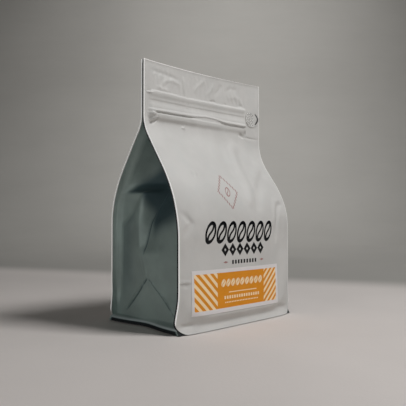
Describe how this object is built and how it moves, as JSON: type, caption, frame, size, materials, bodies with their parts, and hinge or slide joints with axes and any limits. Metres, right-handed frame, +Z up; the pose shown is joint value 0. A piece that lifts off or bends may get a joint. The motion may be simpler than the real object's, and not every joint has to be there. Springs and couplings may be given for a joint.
{
  "type": "coffee bag",
  "caption": "Filled, sealed flat-bottom bag for coffee with dark side gussets, white front and back panels, a pocket zipper with a pull tab, and a plain paper label.",
  "frame": {"origin": "on the floor, under the middle of the bag's overall box", "axes": "+Z up towards the top seal, +X along the front panel's width to the viewer's right, -Y out of the front panel"},
  "size_m": [0.13, 0.0922, 0.2],
  "materials": {
    "dark_film": "satin dark slate laminate",
    "white_film": "matt white laminate",
    "label_paper": "matt coated paper with a white border, an orange field and cream stripes"
  },
  "bodies": {
    "root": {"gusseted_body": "dark_film", "front_panel": "white_film", "back_panel": "white_film", "zipper_strip": "white_film", "pull_tab": "white_film", "label": "label_paper"}
  },
  "joints": []
}
